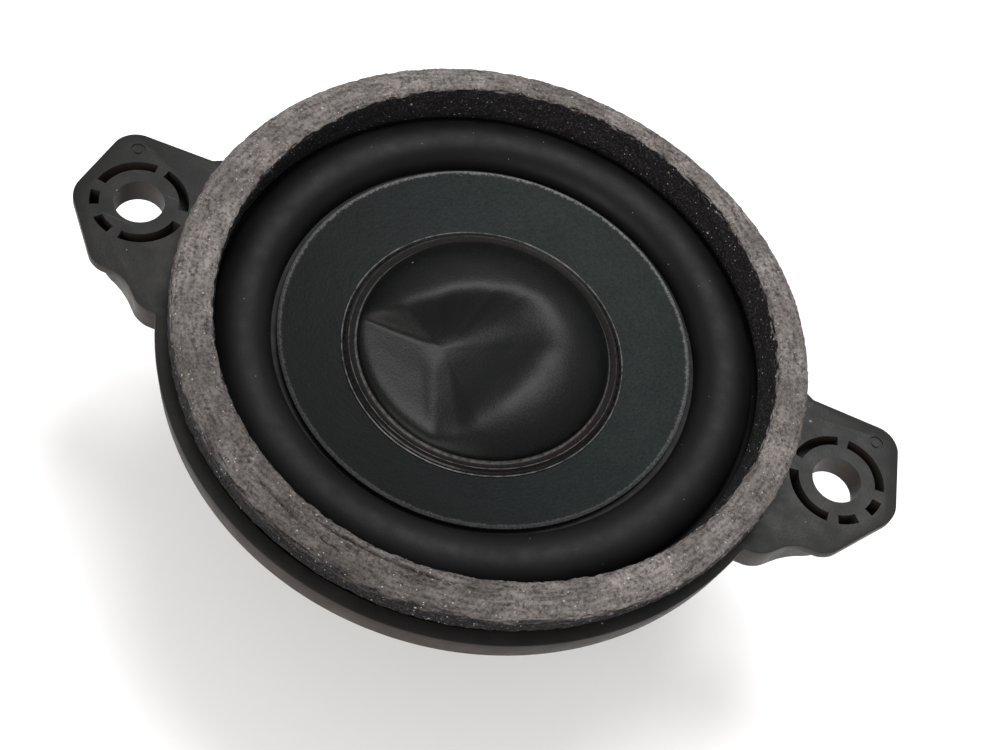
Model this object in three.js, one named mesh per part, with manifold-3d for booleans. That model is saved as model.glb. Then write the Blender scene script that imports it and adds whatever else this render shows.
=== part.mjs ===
// Small round car loudspeaker of the kind that sits in a dashboard, 80 mm class.
// A moulded basket with two screw ears carries a foam gasket, a paper cone with its
// rubber surround and spider, and a ferrite motor. Millimetres, +Z towards the listener.
// Z = 0 is the rear face of the yoke, and the ears point along X.

import * as THREE from 'three';
import { mergeVertices } from 'three/addons/utils/BufferGeometryUtils.js';
import Module from 'manifold-3d';

const wasm = await Module();
wasm.setup();

// ---- driving dimensions ----
const GAP = 0.3;                // between pieces that touch
const ROUND = 48;               // sides of the large round pieces
const INNER = 32;               // sides of the round pieces inside

const RIM_Z = 36;               // front face of the flange and the ears
const FLANGE_R = 40;
const FLANGE_THICK = 3.8;
const LIP_R = 38;               // inner edge of the raised outer lip
const BORE_SPACING = 92;
const BORE_R = 3.1;

const FOAM = { inner: 34.4, outer: 38.6, height: 6.2 };

const CONE_R = 25.6;            // outer edge of the cone
const CONE_Z = RIM_Z + 0.3;
const CONE_SLOPE = 0.333;       // rise of the cone for each millimetre of radius
const PAPER = 0.5;

const FORMER = { inner: 12.6, outer: 12.9, bottom: 12.2, top: 33.1 };
const NECK_R = FORMER.outer + GAP;

const YOKE = { radius: 21.5, thick: 4, pole: 12.2, top: 18.4 };
const MAGNET = { inner: 16, outer: 25, bottom: YOKE.thick + GAP, thick: 10 };
const PLATE = { inner: 14, outer: 22, bottom: MAGNET.bottom + MAGNET.thick + GAP, thick: 3.5 };
const BASE_Z = PLATE.bottom + PLATE.thick + GAP;     // underside of the basket
const SPIDER_Z = 25.9;                               // underside of the spider's rim
const SPIDER_R = 26.2;

const SCREW = { circle: 18.2, head: 2.7, shank: 1.25, count: 4 };
const TAB = { spread: 5, centre: 33.5, thick: 0.8 };
const BRACKET = { half: 9, outer: 37.5, bottom: 22.8, thick: 2 };

// ---- helpers ----

// A ring turned about Z from its [radius, z] section, or a disc where the section
// starts and ends on the axis.
function turned(section, sides = ROUND) {
  let area = 0;
  section.forEach(([r, z], i) => {
    const [r2, z2] = section[(i + 1) % section.length];
    area += r * z2 - r2 * z;
  });
  const points = area < 0 ? [...section].reverse() : [...section];
  if (points[0][0] > 0) points.push(points[0]);
  const geometry = new THREE.LatheGeometry(points.map(([r, z]) => new THREE.Vector2(r, z)), sides);
  return geometry.rotateX(Math.PI / 2);
}

// A plate from an outline in XY, standing from z = bottom to z = top.
function plate(shape, bottom, top, curveSegments = 6) {
  const geometry = new THREE.ExtrudeGeometry(shape, { depth: top - bottom, bevelEnabled: false, curveSegments });
  return geometry.translate(0, 0, bottom);
}

function box(x1, x2, y1, y2, z1, z2) {
  const geometry = new THREE.BoxGeometry(x2 - x1, y2 - y1, z2 - z1);
  return geometry.translate((x1 + x2) / 2, (y1 + y2) / 2, (z1 + z2) / 2);
}

function post(radius, x, y, bottom, top, sides = 24) {
  const geometry = new THREE.CylinderGeometry(radius, radius, top - bottom, sides);
  return geometry.rotateX(Math.PI / 2).translate(x, y, (bottom + top) / 2);
}

// An outline with straight sides and rounded corners, from [x, y, radius] corners.
function roundedOutline(corners) {
  const shape = new THREE.Shape();
  corners.forEach(([x, y, radius], i) => {
    const corner = new THREE.Vector2(x, y);
    const [px, py] = corners[(i + corners.length - 1) % corners.length];
    const [nx, ny] = corners[(i + 1) % corners.length];
    const before = new THREE.Vector2(px, py).sub(corner).setLength(radius).add(corner);
    const after = new THREE.Vector2(nx, ny).sub(corner).setLength(radius).add(corner);
    if (i === 0) shape.moveTo(before.x, before.y);
    else shape.lineTo(before.x, before.y);
    if (radius > 0) shape.quadraticCurveTo(x, y, after.x, after.y);
  });
  return shape;
}

// A piece of a ring between two radii and two angles in degrees, about (x, y).
function ringPiece(x, y, inner, outer, from, to) {
  const start = THREE.MathUtils.degToRad(from);
  const end = THREE.MathUtils.degToRad(to);
  const shape = new THREE.Shape();
  shape.absarc(x, y, outer, start, end, false);
  shape.absarc(x, y, inner, end, start, true);
  return shape;
}

function toSolid(geometry) {
  const bare = geometry.clone();
  bare.deleteAttribute('normal');
  bare.deleteAttribute('uv');
  const merged = mergeVertices(bare, 1e-4);
  const triVerts = [];
  for (let i = 0; i < merged.index.count; i += 3) {
    const [a, b, c] = merged.index.array.slice(i, i + 3);
    if (a !== b && b !== c && c !== a) triVerts.push(a, b, c);
  }
  return new wasm.Manifold(new wasm.Mesh({
    numProp: 3,
    vertProperties: merged.attributes.position.array,
    triVerts: new Uint32Array(triVerts),
  }));
}

function toGeometry(solid) {
  const mesh = solid.getMesh();
  const geometry = new THREE.BufferGeometry();
  geometry.setAttribute('position', new THREE.BufferAttribute(new Float32Array(mesh.vertProperties), 3));
  geometry.setIndex(new THREE.BufferAttribute(new Uint32Array(mesh.triVerts), 1));
  geometry.computeVertexNormals();
  return geometry;
}

// Joins the first list of geometries and cuts the second list out of them.
function carved(joined, cuts) {
  let solid = toSolid(joined[0]);
  for (const geometry of joined.slice(1)) solid = solid.add(toSolid(geometry));
  for (const geometry of cuts) solid = solid.subtract(toSolid(geometry));
  return toGeometry(solid);
}

const FINISH = {
  plastic: { color: 0x26262a, roughness: 0.55, metalness: 0 },
  foam: { color: 0x6a625d, roughness: 1, metalness: 0 },
  rubber: { color: 0x1e1e20, roughness: 0.6, metalness: 0 },
  paper: { color: 0x262a29, roughness: 0.85, metalness: 0 },
  glue: { color: 0x141516, roughness: 0.25, metalness: 0 },
  cloth: { color: 0xb08a4a, roughness: 0.9, metalness: 0 },
  kraft: { color: 0x8a6a44, roughness: 0.8, metalness: 0 },
  former: { color: 0xb8b9bb, roughness: 0.4, metalness: 0.9 },
  copper: { color: 0xa85f32, roughness: 0.35, metalness: 0.9 },
  ferrite: { color: 0x2c2c2e, roughness: 0.7, metalness: 0.1 },
  zinc: { color: 0xa9a9a4, roughness: 0.35, metalness: 1 },
  tin: { color: 0xc9c8c2, roughness: 0.3, metalness: 1 },
  board: { color: 0x4a2f1c, roughness: 0.6, metalness: 0 },
};

const speaker = new THREE.Group();

function add(name, finish, geometry) {
  const mesh = new THREE.Mesh(geometry, new THREE.MeshStandardMaterial(FINISH[finish]));
  mesh.name = name;
  speaker.add(mesh);
}

// ---- basket: flange, ears, vented bowl, spider seat, base and terminal bracket ----

const SEAT_Z = RIM_Z - 1.1;                          // recess that the surround's edge lies in
const FLANGE_BACK = RIM_Z - FLANGE_THICK;
const BASE_TOP = BASE_Z + 2.6;
const BASKET_SECTION = [
  [15.2, BASE_Z], [24.2, BASE_Z], [27.4, 24], [29.4, 25.4], [35.8, FLANGE_BACK - 0.6],
  [35.8, FLANGE_BACK], [FLANGE_R - 0.4, FLANGE_BACK], [FLANGE_R, RIM_Z], [LIP_R, RIM_Z],
  [LIP_R, SEAT_Z], [33.6, SEAT_Z], [33.6, 33.2], [27.4, 26.9], [27, SPIDER_Z - GAP],
  [22.6, SPIDER_Z - GAP], [22, BASE_TOP], [15.2, BASE_TOP],
];

// One ear: straight front edge, corner, outer edge, outermost corner, slanted edge and
// the double step back to the flange. side is +1 for +X and -1 for -X.
function earOutline(side) {
  const corners = [
    [36, 9.6, 0], [52.1, 9.6, 2.4], [54.2, -2, 1.5], [47.3, -10.6, 1.3],
    [43.1, -10.6, 1.6], [39.7, -13.9, 1.3], [36, -13.9, 0],
  ];
  return roundedOutline(corners.map(([x, y, radius]) => [side * x, y, radius]));
}

const SLOT = { inner: 4.85, outer: 6.05, depth: 2.6 };
const SLOT_ANGLES = [[8, 88], [102, 168], [189, 271], [285, 311], [330, 352]];

function earSlots(side) {
  return SLOT_ANGLES.map(([from, to]) => {
    const angles = side > 0 ? [from, to] : [180 - to, 180 - from];
    const shape = ringPiece(side * BORE_SPACING / 2, 0, SLOT.inner, SLOT.outer, ...angles);
    return plate(shape, RIM_Z - SLOT.depth, RIM_Z + 1, 8);
  });
}

const WINDOW = { count: 12, half: 4.5, bottom: 27.2, top: 31.4 };
const windows = Array.from({ length: WINDOW.count }, (_, i) =>
  box(25, 39, -WINDOW.half, WINDOW.half, WINDOW.bottom, WINDOW.top).rotateZ(i * 2 * Math.PI / WINDOW.count));

const screwPlaces = Array.from({ length: SCREW.count }, (_, i) => {
  const angle = (i + 0.5) * 2 * Math.PI / SCREW.count;
  return [SCREW.circle * Math.cos(angle), SCREW.circle * Math.sin(angle)];
});
const HEAD_Z = BASE_TOP - 1.5;                       // floor of the screw heads' recesses
const bracketTop = BRACKET.bottom + BRACKET.thick;

const basketCuts = [
  ...windows,
  ...[-1, 1].flatMap((side) => [
    post(BORE_R, side * BORE_SPACING / 2, 0, FLANGE_BACK - 1, RIM_Z + 1, 32),
    ...earSlots(side),
    post(1.2, side * TAB.spread, TAB.centre, BRACKET.bottom - 1, bracketTop + 1, 12),
  ]),
  ...screwPlaces.flatMap(([x, y]) => [
    post(SCREW.shank + GAP, x, y, BASE_Z - 1, BASE_TOP + 1, 12),
    post(SCREW.head + GAP, x, y, HEAD_Z, BASE_TOP + 1, 18),
  ]),
];
// The ears stop at the lip, so the recess for the surround's edge stays open.
const recess = post(LIP_R, 0, 0, SEAT_Z, RIM_Z + 1, ROUND);
const ears = [-1, 1].map((side) => toGeometry(
  toSolid(plate(earOutline(side), FLANGE_BACK, RIM_Z)).subtract(toSolid(recess))));
const bracket = box(-BRACKET.half, BRACKET.half, 25, BRACKET.outer, BRACKET.bottom, bracketTop);
add('basket', 'plastic', carved([turned(BASKET_SECTION), ...ears, bracket], basketCuts));

// ---- foam gasket and surround ----

const foamTop = RIM_Z + FOAM.height;
add('foam_gasket', 'foam', turned([
  [FOAM.inner, RIM_Z], [37.6, RIM_Z], [FOAM.outer - 0.1, RIM_Z + 1.6], [FOAM.outer, RIM_Z + 4],
  [FOAM.outer - 0.5, foamTop - 0.6], [FOAM.outer - 1.6, foamTop], [FOAM.inner + 1.2, foamTop],
  [FOAM.inner + 0.3, foamTop - 0.6], [FOAM.inner, foamTop - 1.6],
]));

// A half roll between the two radii, from 0 to 180 degrees.
function roll(inner, outer, base, height, steps) {
  const centre = (inner + outer) / 2;
  const reach = (outer - inner) / 2;
  return Array.from({ length: steps + 1 }, (_, i) => {
    const angle = Math.PI * (1 - i / steps);
    return [centre + reach * Math.cos(angle), base + height * Math.sin(angle)];
  });
}
const coneTop = (radius) => CONE_Z - (CONE_R - radius) * CONE_SLOPE;
const SURROUND = { thick: 0.5, inner: 26.2, outer: 33.7, height: 2.7, z: RIM_Z - GAP };
const lipTop = (radius) => coneTop(radius) - PAPER - GAP;
add('surround', 'rubber', turned([
  [23.6, lipTop(23.6)], [25.8, lipTop(25.8)],
  ...roll(SURROUND.inner, SURROUND.outer, SURROUND.z, SURROUND.height, 8),
  [37.4, SURROUND.z], [37.4, SURROUND.z - SURROUND.thick],
  ...roll(SURROUND.inner + SURROUND.thick, SURROUND.outer - SURROUND.thick,
    SURROUND.z - SURROUND.thick, SURROUND.height, 6).reverse(),
  [23.6, lipTop(23.6) - 0.4],
]));

// ---- moving parts ----

add('cone', 'paper', turned([
  [NECK_R, coneTop(NECK_R) - PAPER], [CONE_R, CONE_Z - PAPER], [CONE_R, CONE_Z], [NECK_R, coneTop(NECK_R)],
]));

const CAP = { base: 15.8, rim: 16.7, rise: 4.4 };
const capFoot = coneTop(CAP.base) + GAP;
const dome = (radius, lift) => capFoot + lift + CAP.rise * (1 - (radius / CAP.base) ** 2);
const DOME_STEPS = [0, 4, 8, 11, 13.6, CAP.base];
add('dust_cap', 'paper', turned([
  ...DOME_STEPS.map((radius) => [radius, dome(radius, PAPER)]),
  [CAP.rim, coneTop(CAP.rim) + GAP + 0.4], [CAP.rim, coneTop(CAP.rim) + GAP],
  ...DOME_STEPS.map((radius) => [radius, dome(radius, 0)]).reverse(),
], 48));

const BEAD = { inner: CAP.rim + GAP, outer: 17.7 };
add('dust_cap_glue_bead', 'glue', turned([
  [BEAD.inner, coneTop(BEAD.inner) + GAP], [BEAD.outer, coneTop(BEAD.outer) + GAP],
  [(BEAD.inner + BEAD.outer) / 2, coneTop(BEAD.outer) + 0.7],
], 48));

add('voice_coil_former', 'former', turned([
  [FORMER.inner, FORMER.bottom], [FORMER.outer, FORMER.bottom],
  [FORMER.outer, FORMER.top], [FORMER.inner, FORMER.top],
], INNER));

const ring = (inner, outer, bottom, top) => turned(
  [[inner, bottom], [outer, bottom], [outer, top], [inner, top]], INNER);
add('voice_coil_winding', 'copper', ring(NECK_R, 13.6, 13, 20.2));
add('coil_collar', 'kraft', ring(NECK_R, 13.6, 27.2, 31.2));
add('cone_neck_glue', 'glue', turned([
  [NECK_R, coneTop(NECK_R) + GAP], [14.3, coneTop(14.3) + GAP], [NECK_R, FORMER.top],
], INNER));
add('spider_neck_glue', 'glue', turned([[NECK_R, 26.6], [14, 26.6], [NECK_R, 26.95]], INNER));

// The spider is a corrugated cloth disc with a flat rim.
const WAVES = { from: 14.4, to: 22.8, count: 3, height: 0.65, steps: 12 };
const waves = (lift) => Array.from({ length: WAVES.steps + 1 }, (_, i) => {
  const share = i / WAVES.steps;
  const wave = Math.sin(share * WAVES.count * 2 * Math.PI);
  return [WAVES.from + share * (WAVES.to - WAVES.from), SPIDER_Z + WAVES.height * wave + lift];
});
const CLOTH = 0.35;
add('spider', 'cloth', turned([
  [NECK_R, SPIDER_Z], ...waves(0), [SPIDER_R, SPIDER_Z],
  [SPIDER_R, SPIDER_Z + CLOTH], ...waves(CLOTH).reverse(), [NECK_R, SPIDER_Z + CLOTH],
], INNER));

// ---- motor ----

const plateTop = PLATE.bottom + PLATE.thick;
const chamferedRing = (inner, outer, bottom, top, chamfer) => turned([
  [inner, bottom], [outer - chamfer, bottom], [outer, bottom + chamfer],
  [outer, top - chamfer], [outer - chamfer, top], [inner, top],
], 48);
add('top_plate', 'zinc', carved(
  [chamferedRing(PLATE.inner, PLATE.outer, PLATE.bottom, plateTop, 0.4)],
  screwPlaces.map(([x, y]) => post(SCREW.shank + GAP, x, y, PLATE.bottom - 1, plateTop + 1, 12))));
add('magnet', 'ferrite',
  chamferedRing(MAGNET.inner, MAGNET.outer, MAGNET.bottom, MAGNET.bottom + MAGNET.thick, 0.8));
add('yoke', 'zinc', turned([
  [0, 0], [YOKE.radius - 0.6, 0], [YOKE.radius, 0.6], [YOKE.radius, YOKE.thick],
  [YOKE.pole, YOKE.thick], [YOKE.pole, YOKE.top - 0.5], [YOKE.pole - 0.5, YOKE.top], [0, YOKE.top],
], 48));

screwPlaces.forEach(([x, y], i) => {
  const floor = HEAD_Z + GAP;
  const screw = turned([
    [0, PLATE.bottom + 0.4], [SCREW.shank, PLATE.bottom + 0.4], [SCREW.shank, floor],
    [SCREW.head, floor], [SCREW.head - 0.4, floor + 1.3], [0, floor + 1.3],
  ], 12);
  add(`basket_screw_${i + 1}`, 'zinc', screw.translate(x, y, 0));
});

// ---- terminals ----

const boardTop = BRACKET.bottom - GAP;
const boardBottom = boardTop - 1.6;
const tabTop = boardBottom - GAP;
const tabPlaces = [
  { name: 'positive', x: TAB.spread, half: 2.4 },
  { name: 'negative', x: -TAB.spread, half: 1.4 },
];
const rivetHole = (x) => post(1.2, x, TAB.centre, tabTop - 3, boardTop + 1, 12);

add('terminal_board', 'board', carved(
  [box(-BRACKET.half, BRACKET.half, 28.6, BRACKET.outer, boardBottom, boardTop)],
  tabPlaces.map(({ x }) => rivetHole(x))));

for (const { name, x, half } of tabPlaces) {
  const bend = 36.6;                                 // outer face of the blade
  const blade = box(x - half, x + half, bend - TAB.thick, bend, 12, tabTop);
  const foot = box(x - Math.max(half, 2), x + Math.max(half, 2), 31.2, bend, tabTop - TAB.thick, tabTop);
  add(`terminal_${name}`, 'tin', carved([foot, blade], [rivetHole(x)]));

  const low = tabTop - TAB.thick - GAP;
  const high = bracketTop + GAP;
  const rivet = turned([
    [0, low - 0.5], [1.7, low - 0.5], [1.7, low], [0.9, low],
    [0.9, high], [1.7, high], [1.7, high + 0.5], [0, high + 0.5],
  ], 12);
  add(`terminal_rivet_${name}`, 'tin', rivet.translate(x, TAB.centre, 0));

  const solderZ = high + 0.5 + GAP;
  const solder = turned([[0, solderZ], [1.4, solderZ], [1, solderZ + 0.6], [0, solderZ + 0.9]], 12);
  add(`terminal_solder_${name}`, 'tin', solder.translate(x, TAB.centre, 0));

  const side = Math.sign(x);
  const joint = turned([[0, -0.9], [0.9, -0.5], [0.9, 0.5], [0, 0.9]], 10);
  add(`lead_joint_${name}`, 'glue', joint.translate(side * 3, 14.45, 29.6));

  // The lead leaves the collar, arches under the cone and goes out through a window.
  const route = new THREE.CatmullRomCurve3([
    [3, 15.7, 29.9], [3, 18.5, 30.8], [3, 23, 30.7], [3, 28, 29.9],
    [3.2, 32, 29.4], [4, 34, 28.9], [4.9, 33.9, 27.9], [5, TAB.centre, solderZ + 1.25],
  ].map(([px, py, pz]) => new THREE.Vector3(side * px, py, pz)));
  const section = new THREE.Shape();
  section.absarc(0, 0, 0.45, 0, 2 * Math.PI, false);
  add(`tinsel_lead_${name}`, 'copper', new THREE.ExtrudeGeometry(section, {
    steps: 22, curveSegments: 4, extrudePath: route,
  }));
}

export default speaker;
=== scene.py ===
"""Looks of a small car dash loudspeaker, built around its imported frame.

Shapes are worked out in millimetres and scaled to metres as each piece is finished.
The speaker faces up, +Z, with its screw ears along X and its terminals at +Y.
"""

import math

import bmesh
import bpy
from mathutils import Matrix, Vector, noise


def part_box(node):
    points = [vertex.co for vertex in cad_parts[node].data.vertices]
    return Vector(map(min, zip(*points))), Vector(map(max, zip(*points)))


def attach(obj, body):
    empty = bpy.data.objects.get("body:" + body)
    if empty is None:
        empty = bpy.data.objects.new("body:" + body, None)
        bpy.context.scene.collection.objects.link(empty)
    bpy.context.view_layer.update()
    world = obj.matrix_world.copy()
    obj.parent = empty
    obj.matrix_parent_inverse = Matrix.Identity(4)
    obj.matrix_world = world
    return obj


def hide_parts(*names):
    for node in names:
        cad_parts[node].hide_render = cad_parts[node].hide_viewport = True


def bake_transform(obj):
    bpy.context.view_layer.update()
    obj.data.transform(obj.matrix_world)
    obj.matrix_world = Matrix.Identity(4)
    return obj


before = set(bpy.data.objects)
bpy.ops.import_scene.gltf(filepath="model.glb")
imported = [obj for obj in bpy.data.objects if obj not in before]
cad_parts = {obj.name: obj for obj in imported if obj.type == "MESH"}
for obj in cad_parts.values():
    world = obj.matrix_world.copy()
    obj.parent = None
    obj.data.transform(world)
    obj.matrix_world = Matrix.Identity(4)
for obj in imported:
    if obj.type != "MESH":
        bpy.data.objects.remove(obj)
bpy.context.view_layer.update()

MM = 0.001
FIXED = "frame"                 # the body that the basket belongs to
MOVING = "cone_assembly"        # the body that rides on the voice coil


def corners(node):
    """Lowest and highest corner of a CAD node, in millimetres."""
    low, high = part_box(node)
    return Vector(low) / MM, Vector(high) / MM


# ---- places taken from the frame, in millimetres ----

basket_low, basket_high = corners("basket")
foam_low, foam_high = corners("foam_gasket")
cone_high = corners("cone")[1]
surround_high = corners("surround")[1]
spider_low, spider_high = corners("spider")
magnet_low, magnet_high = corners("magnet")
plate_low, plate_high = corners("top_plate")
yoke_high = corners("yoke")[1]
former_low, former_high = corners("voice_coil_former")
board_low, board_high = corners("terminal_board")

RIM_Z = basket_high.z
FLANGE_R = basket_high.y
BASE_Z = basket_low.z
CONE_R = cone_high.x
CONE_Z = cone_high.z
NECK_R = former_high.x + 0.3
CONE_SLOPE = 0.333              # rise of the cone for each millimetre of radius

BORE_X = 46.0
BORE_R = 3.1
FLANGE_THICK = 3.8
LIP_R = 38.0                    # inner edge of the outer lip
FLANGE_BACK = RIM_Z - FLANGE_THICK
SEAT_Z = RIM_Z - 1.1            # recess under the surround's edge
BASE_TOP = BASE_Z + 2.6
SPIDER_SEAT = spider_low.z - 0.3


# ---- mesh helpers ----

def smooth_step(value):
    value = min(1.0, max(0.0, value))
    return value * value * (3 - 2 * value)


def curve_between(before, a, b, after, t):
    """The point at share t between a and b, on a smooth curve through all four."""
    return 0.5 * (2 * a + (b - before) * t + (2 * before - 5 * a + 4 * b - after) * t * t
                  + (3 * a - before - 3 * b + after) * t ** 3)


def turned(section, steps, closed=True):
    """A ring from a closed [radius, height] section, or a disc from an open one."""
    bm = bmesh.new()
    verts = [bm.verts.new((r, 0, z)) for r, z in section]
    ends = verts[1:] + verts[:1] if closed else verts[1:]
    edges = [bm.edges.new(pair) for pair in zip(verts, ends)]
    bmesh.ops.spin(
        bm, geom=verts + edges, cent=(0, 0, 0), axis=(0, 0, 1),
        angle=math.tau, steps=steps, use_merge=True, use_duplicate=False)
    bmesh.ops.remove_doubles(bm, verts=bm.verts, dist=1e-4)
    bmesh.ops.recalc_face_normals(bm, faces=bm.faces)
    return bm


def soften(bm, width, segments=3, angle=30):
    """Rounds every edge that turns by more than the angle, in degrees."""
    limit = math.radians(angle)
    sharp = [e for e in bm.edges if e.is_manifold and e.calc_face_angle() > limit]
    bmesh.ops.bevel(
        bm, geom=sharp, affect="EDGES", offset=width, offset_type="OFFSET",
        segments=segments, profile=0.5, material=-1, clamp_overlap=True)
    return bm


def tube(inner, outer, bottom, top, steps):
    return turned([(inner, bottom), (outer, bottom), (outer, top), (inner, top)], steps)


def block(x1, x2, y1, y2, z1, z2):
    bm = bmesh.new()
    bmesh.ops.create_cube(bm, size=1)
    bmesh.ops.scale(bm, vec=(x2 - x1, y2 - y1, z2 - z1), verts=bm.verts)
    bmesh.ops.translate(bm, vec=((x1 + x2) / 2, (y1 + y2) / 2, (z1 + z2) / 2), verts=bm.verts)
    return bm


def post(radius, x, y, bottom, top, segments):
    bm = bmesh.new()
    bmesh.ops.create_cone(
        bm, cap_ends=True, segments=segments, radius1=radius, radius2=radius, depth=top - bottom)
    bmesh.ops.translate(bm, vec=(x, y, (bottom + top) / 2), verts=bm.verts)
    return bm


def thickened(bm, shift):
    """Draws a flat face out along shift, into a solid."""
    grown = bmesh.ops.extrude_face_region(bm, geom=bm.faces[:])
    moved = [g for g in grown["geom"] if isinstance(g, bmesh.types.BMVert)]
    bmesh.ops.translate(bm, vec=shift, verts=moved)
    bmesh.ops.recalc_face_normals(bm, faces=bm.faces)
    return bm


def outline_plate(points, bottom, top):
    """A plate whose outline has [x, y, corner radius] corners."""
    bm = bmesh.new()
    verts = [bm.verts.new((x, y, bottom)) for x, y, _ in points]
    bm.faces.new(verts)
    for vert, (_, _, radius) in zip(verts, points):
        if radius:
            bmesh.ops.bevel(
                bm, geom=[vert], affect="VERTICES", offset=radius, offset_type="OFFSET",
                segments=8, profile=0.5, material=-1)
    return thickened(bm, (0, 0, top - bottom))


def ring_piece(x, inner, outer, start, end, bottom, top):
    """A piece of a ring about (x, 0) between two angles in degrees."""
    bm = bmesh.new()
    section = [(inner, bottom), (outer, bottom), (outer, top), (inner, top)]
    turn = Matrix.Rotation(math.radians(start), 3, "Z")
    verts = [bm.verts.new(turn @ Vector((r, 0, z))) for r, z in section]
    edges = [bm.edges.new(pair) for pair in zip(verts, verts[1:] + verts[:1])]
    steps = max(4, round((end - start) / 5))
    bmesh.ops.spin(
        bm, geom=verts + edges, cent=(0, 0, 0), axis=(0, 0, 1),
        angle=math.radians(end - start), steps=steps, use_merge=False, use_duplicate=False)
    bmesh.ops.holes_fill(bm, edges=[e for e in bm.edges if e.is_boundary], sides=0)
    bmesh.ops.translate(bm, vec=(x, 0, 0), verts=bm.verts)
    bmesh.ops.recalc_face_normals(bm, faces=bm.faces)
    return bm


def swung(bm, angle):
    """Turns a mesh about the speaker's axis."""
    bmesh.ops.rotate(bm, cent=(0, 0, 0), matrix=Matrix.Rotation(angle, 3, "Z"), verts=bm.verts)
    return bm


def joined(parts):
    """One bmesh that holds all the parts."""
    whole = bmesh.new()
    for part in parts:
        mesh = bpy.data.meshes.new("part")
        part.to_mesh(mesh)
        part.free()
        whole.from_mesh(mesh)
        bpy.data.meshes.remove(mesh)
    return whole


def loose_object(name, bm):
    mesh = bpy.data.meshes.new(name)
    bm.to_mesh(mesh)
    bm.free()
    thing = bpy.data.objects.new(name, mesh)
    bpy.context.scene.collection.objects.link(thing)
    return thing


def discard(thing):
    mesh = thing.data
    bpy.data.objects.remove(thing)
    bpy.data.meshes.remove(mesh)


def evaluated(thing):
    """The mesh that an object shows."""
    shown = thing.evaluated_get(bpy.context.evaluated_depsgraph_get())
    result = bmesh.new()
    result.from_mesh(shown.to_mesh())
    shown.to_mesh_clear()
    return result


def with_modifier(bm, kind, **values):
    """Runs one modifier over a mesh and returns the result."""
    thing = loose_object("working", bm)
    modifier = thing.modifiers.new(kind, kind)
    for key, value in values.items():
        setattr(modifier, key, value)
    result = evaluated(thing)
    discard(thing)
    return result


def combine(bm, tools, operation):
    """Joins tools to a mesh (UNION) or cuts them out of it (DIFFERENCE)."""
    for tool in tools:
        other = loose_object("tool", tool)
        bm = with_modifier(bm, "BOOLEAN", object=other, operation=operation, solver="EXACT")
        discard(other)
    return bm


def piece(name, bm, body, material, nodes, smooth=35):
    """Scales a mesh to metres and makes it a piece that stands for CAD nodes.

    It rides on the body, or on none if no body is given."""
    bmesh.ops.scale(bm, vec=(MM, MM, MM), verts=bm.verts)
    thing = loose_object(name, bm)
    thing.data.materials.append(material)
    for polygon in thing.data.polygons:
        level = abs(polygon.normal.z) > 0.9995
        polygon.use_smooth = not level and polygon.area < 8 * MM * MM
    thing.data.set_sharp_from_angle(angle=math.radians(smooth))
    if body:
        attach(thing, body)
    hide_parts(*nodes)
    return thing


# ---- material helpers ----

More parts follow.
